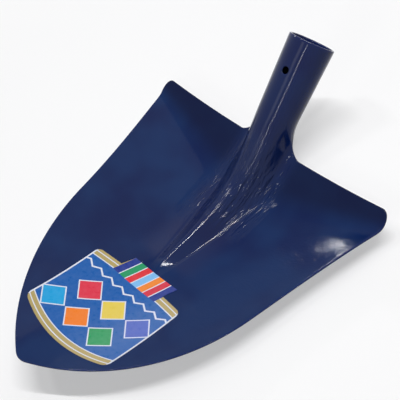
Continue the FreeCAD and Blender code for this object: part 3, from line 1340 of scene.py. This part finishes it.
@dataclass
class Label:
    """Printed film that follows the dish, bowed at both ends, with a leaning tab."""

    form: HeadForm = field(default_factory=HeadForm)
    width: float = 107.0
    length: float = 79.0
    front: float = 47.0
    front_bow: float = 11.5
    back_bow: float = 5.0
    corner: float = 5.0
    corner_turn: int = 15
    tab_width: float = 54.0
    tab_end: float = 143.0
    tab_lean: float = 4.5
    film: float = 0.25
    seat: float = 0.12
    rows: int = 26
    side_steps: int = 14
    tab_steps: int = 12
    tab_rows: int = 4
    hard_angle: float = 40.0
    map_unit: float = 100.0
    map_start: tuple[float, float] = (-50.0, 30.0)

    @property
    def back(self) -> float:
        """Distance from the point to the back corners."""
        return self.front + self.length

    def across(self) -> list[float]:
        """Places across of the columns, close together at the rounded corners."""
        half, tab = self.width / 2, self.tab_width / 2
        inner = [tab * number / self.tab_steps for number in range(self.tab_steps)]
        straight = half - self.corner
        outer = [tab + (straight - tab) * number / self.side_steps
                 for number in range(self.side_steps)]
        turned = [straight + self.corner * sin(radians(turn))
                  for turn in range(0, 91, self.corner_turn)]
        right = inner + outer + turned
        return [-x for x in right[:0:-1]] + right

    def ends(self, x: float) -> tuple[float, float]:
        """Front and back edge of the film at a place across."""
        share = (x / (self.width / 2)) ** 2
        over = max(abs(x) - (self.width / 2 - self.corner), 0.0)
        turned = self.corner - Outline.leg(self.corner, over)
        return (self.front - self.front_bow * (1 - share) + turned,
                self.back + self.back_bow * (1 - share) - turned)

    def place(self, x: float, y: float) -> Vector:
        """Place on the under side of the film, in the model's frame."""
        return self.form.model(Vector((x, y, self.form.dish(x, y) + self.seat)))

    def build(self) -> Piece:
        """Build the film."""
        xs = self.across()

        def crossing(column: int, row: int) -> Vector:
            """Place of a crossing of the grid."""
            low, high = self.ends(xs[column])
            return self.place(xs[column], low + (high - low) * row / (self.rows - 1))
        piece = grid("label_film", len(xs), self.rows, crossing)
        middle = len(xs) // 2
        top = (self.rows - 1) * len(xs) + middle
        chain = [top + number for number in range(-self.tab_steps, self.tab_steps + 1)]
        for row in range(1, self.tab_rows + 1):
            chain = extrude_edges(piece, chain)
            share = row / self.tab_rows
            for number, step in zip(chain, range(-self.tab_steps, self.tab_steps + 1)):
                root = self.tab_width / 2 * step / self.tab_steps
                start = self.ends(root)[1]
                y = start + (self.tab_end - start) * share
                piece.data.vertices[number].co = self.place(root + self.tab_lean * share, y)
        self.unwrap(piece)
        pick(piece)
        modifier = piece.modifiers.new("Film", "SOLIDIFY")
        modifier.thickness = self.film * MM
        modifier.offset = 1.0
        bpy.ops.object.modifier_apply(modifier=modifier.name)
        finish_mesh(piece, levels=0, hard=self.hard_angle)
        return piece

    def unwrap(self, piece: Piece) -> None:
        """Write a flat map of the film."""
        layer = piece.data.uv_layers.active or piece.data.uv_layers.new(name="print")
        layer.name = "print"
        start_x, start_y = self.map_start
        for loop in piece.data.loops:
            place = self.form.from_model(piece.data.vertices[loop.vertex_index].co)
            layer.data[loop.index].uv = ((place.x - start_x) / self.map_unit,
                                         (place.y - start_y) / self.map_unit)

    def dress(self, piece: Piece) -> None:
        """Give the film its print and its place in the model."""
        piece.data.materials.append(LabelPrint().make(self))
        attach(piece, "root")
        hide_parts("label")
        LOG.info("%s: %d faces", piece.name, len(piece.data.polygons))


class LampRole(Enum):
    """What a lamp is there for."""

    TUBE = "overhead_tube"
    SPARK = "spark"
    BEHIND = "behind"
    NEAR = "near"
    EDGE = "edge"
    FRONT = "front"
    CEILING = "ceiling"
    FILL = "fill"


@dataclass(frozen=True)
class Softbox:
    """Area lamp that faces the head."""

    role: LampRole
    azimuth: float
    elevation: float
    distance: float
    size: tuple[float, float]
    power: float

    def build(self, target: Vector) -> None:
        """Add the lamp.

        Args:
            target: Place that it faces.
        """
        turn, rise = radians(self.azimuth), radians(self.elevation)
        out = Vector((sin(turn) * cos(rise), -cos(turn) * cos(rise), sin(rise)))
        data = bpy.data.lights.new(self.role.value, "AREA")
        data.shape = "RECTANGLE"
        data.size, data.size_y = self.size
        data.energy = self.power
        lamp = bpy.data.objects.new(self.role.value, data)
        lamp.location = target + out * self.distance
        lamp.rotation_euler = out.to_track_quat("Z", "Y").to_euler()
        bpy.context.scene.collection.objects.link(lamp)


@dataclass
class Studio:
    """Camera, lamps, world and pale floor."""

    lens: float = 81.0
    place: tuple[float, float, float] = (0.422065, -0.225755, 0.652715)
    right: tuple[float, float, float] = (0.69095, 0.694177, -0.201757)
    forward: tuple[float, float, float] = (-0.538524, 0.308079, -0.78427)
    floor_size: float = 12.0
    floor_drop: float = 0.0002
    floor_colour: tuple = (0.84, 0.84, 0.85, 1.0)
    white: tuple = (1.0, 1.0, 1.0, 1.0)
    target: tuple[float, float, float] = (0.0, 0.0, 0.05)
    shadow_reach: tuple[float, float] = (0.3, 0.75)
    own_light: float = 0.4
    world_level: float = 0.08
    lamps: tuple[Softbox, ...] = (
        Softbox(LampRole.TUBE, 125.0, 83.0, 1.9, (0.05, 1.1), 27.0),
        Softbox(LampRole.SPARK, -55.0, 68.0, 1.9, (0.1, 0.25), 4.0),
        Softbox(LampRole.BEHIND, -125.5, 28.1, 1.68, (0.08, 0.08), 2.6),
        Softbox(LampRole.NEAR, 50.0, 47.0, 2.0, (0.12, 0.12), 2.5),
        Softbox(LampRole.EDGE, 24.0, 36.0, 2.0, (0.02, 0.5), 2.2),
        Softbox(LampRole.FRONT, -8.0, 38.0, 2.0, (0.45, 0.6), 1.2),
        Softbox(LampRole.CEILING, -163.0, 64.0, 2.0, (1.5, 1.0), 3.5),
        Softbox(LampRole.FILL, -168.0, 38.0, 2.2, (1.8, 1.0), 5.0),
    )

    def camera(self) -> None:
        """Set the camera where the photograph was taken from."""
        data = bpy.data.cameras.new("camera")
        data.lens = self.lens
        camera = bpy.data.objects.new("camera", data)
        right, back = Vector(self.right).normalized(), -Vector(self.forward).normalized()
        up = back.cross(right).normalized()
        turn = Matrix((right, up, back)).transposed().to_4x4()
        camera.matrix_world = Matrix.Translation(self.place) @ turn
        bpy.context.scene.collection.objects.link(camera)
        bpy.context.scene.camera = camera

    @staticmethod
    def seen(tree: Tree) -> Value:
        """1 for a ray from the camera, a reflection or a clear thing, and 0 for light."""
        kinds = ("Is Camera Ray", "Is Glossy Ray", "Is Transmission Ray")
        camera, glossy, through = (tree.add("ShaderNodeLightPath", None, None, kind)
                                   for kind in kinds)
        return (camera + glossy + through).math("MINIMUM", 1.0)

    def floor(self) -> None:
        """Add the pale floor, which the camera sees white and which keeps the shadow."""
        deselect()
        bpy.ops.mesh.primitive_plane_add(size=self.floor_size, location=(0, 0, -self.floor_drop))
        floor = bpy.context.object
        floor.name = "floor"
        material = bpy.data.materials.new("pale_floor")
        tree = Tree(material)
        place = tree.add("ShaderNodeTexCoord", None, None, "Object")
        far = tree.add("ShaderNodeVectorMath", {"operation": "LENGTH"}, {0: place}, "Value")
        share = far.ramp(*self.shadow_reach) * (1 - self.own_light) + self.own_light
        near = tree.add("ShaderNodeBsdfDiffuse", None, {"Color": self.floor_colour})
        white = tree.add("ShaderNodeEmission", None, {"Color": self.white, "Strength": 1.0})
        factor = share * self.seen(tree)
        mixed = tree.add("ShaderNodeMixShader", None, {0: factor, 1: near, 2: white})
        tree.add("ShaderNodeOutputMaterial", None, {"Surface": mixed})
        floor.data.materials.append(material)

    def world(self) -> None:
        """Light the scene evenly, and show white to the camera and in reflections."""
        world = bpy.data.worlds.new("studio")
        bpy.context.scene.world = world
        tree = Tree(world)
        strength = self.world_level + self.seen(tree) * (1.0 - self.world_level)
        light = tree.add("ShaderNodeBackground", None, {"Color": self.white, "Strength": strength})
        tree.add("ShaderNodeOutputWorld", None, {"Surface": light})

    def build(self) -> None:
        """Build the studio."""
        self.camera()
        self.floor()
        self.world()
        for lamp in self.lamps:
            lamp.build(Vector(self.target))
        bpy.context.scene.view_settings.view_transform = "Standard"


def main() -> None:
    """Load the frame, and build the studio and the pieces."""
    logging.basicConfig(level=logging.INFO, format="%(message)s")
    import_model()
    Studio().build()
    form = HeadForm()
    for part in (SteelHead(form), Label(form)):
        piece = part.build()
        part.dress(piece)


if __name__ == "__main__":
    main()
